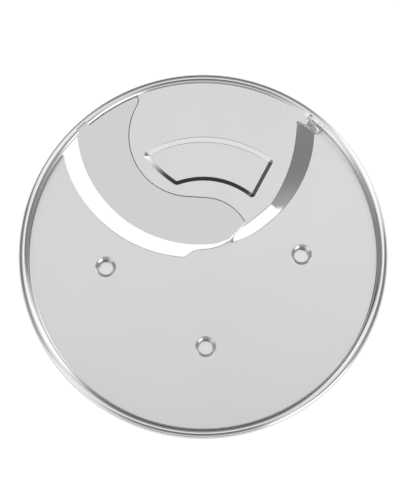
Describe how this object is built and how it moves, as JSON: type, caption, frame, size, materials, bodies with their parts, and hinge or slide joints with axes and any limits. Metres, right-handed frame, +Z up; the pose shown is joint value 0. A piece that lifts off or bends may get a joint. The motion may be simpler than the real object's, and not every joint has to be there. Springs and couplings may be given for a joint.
{
  "type": "food processor slicing disc",
  "caption": "Round pressed-steel slicing disc for a food processor: rolled rim, raised sector with a flush curved blade, crescent throat, and hollow studs for a clip-on drive stem.",
  "frame": {"origin": "on the axis of rotation, level with the ends of the studs, which are the lowest points", "axes": "+Z up along the axis of rotation, out of the cutting side; -Y towards the front stud; seen from above the disc turns counter-clockwise"},
  "size_m": [0.2, 0.2, 0.013],
  "materials": {
    "plate_steel": "fine satin stainless steel, brighter on the formed ramp and bead",
    "blade_steel": "evenly matt hardened steel, ground bevel",
    "stud_steel": "turned stainless steel"
  },
  "bodies": {
    "root": {"disc_plate": "plate_steel", "slicing_blade": "blade_steel", "stud_left": "stud_steel", "stud_front": "stud_steel", "stud_right": "stud_steel"}
  },
  "joints": []
}
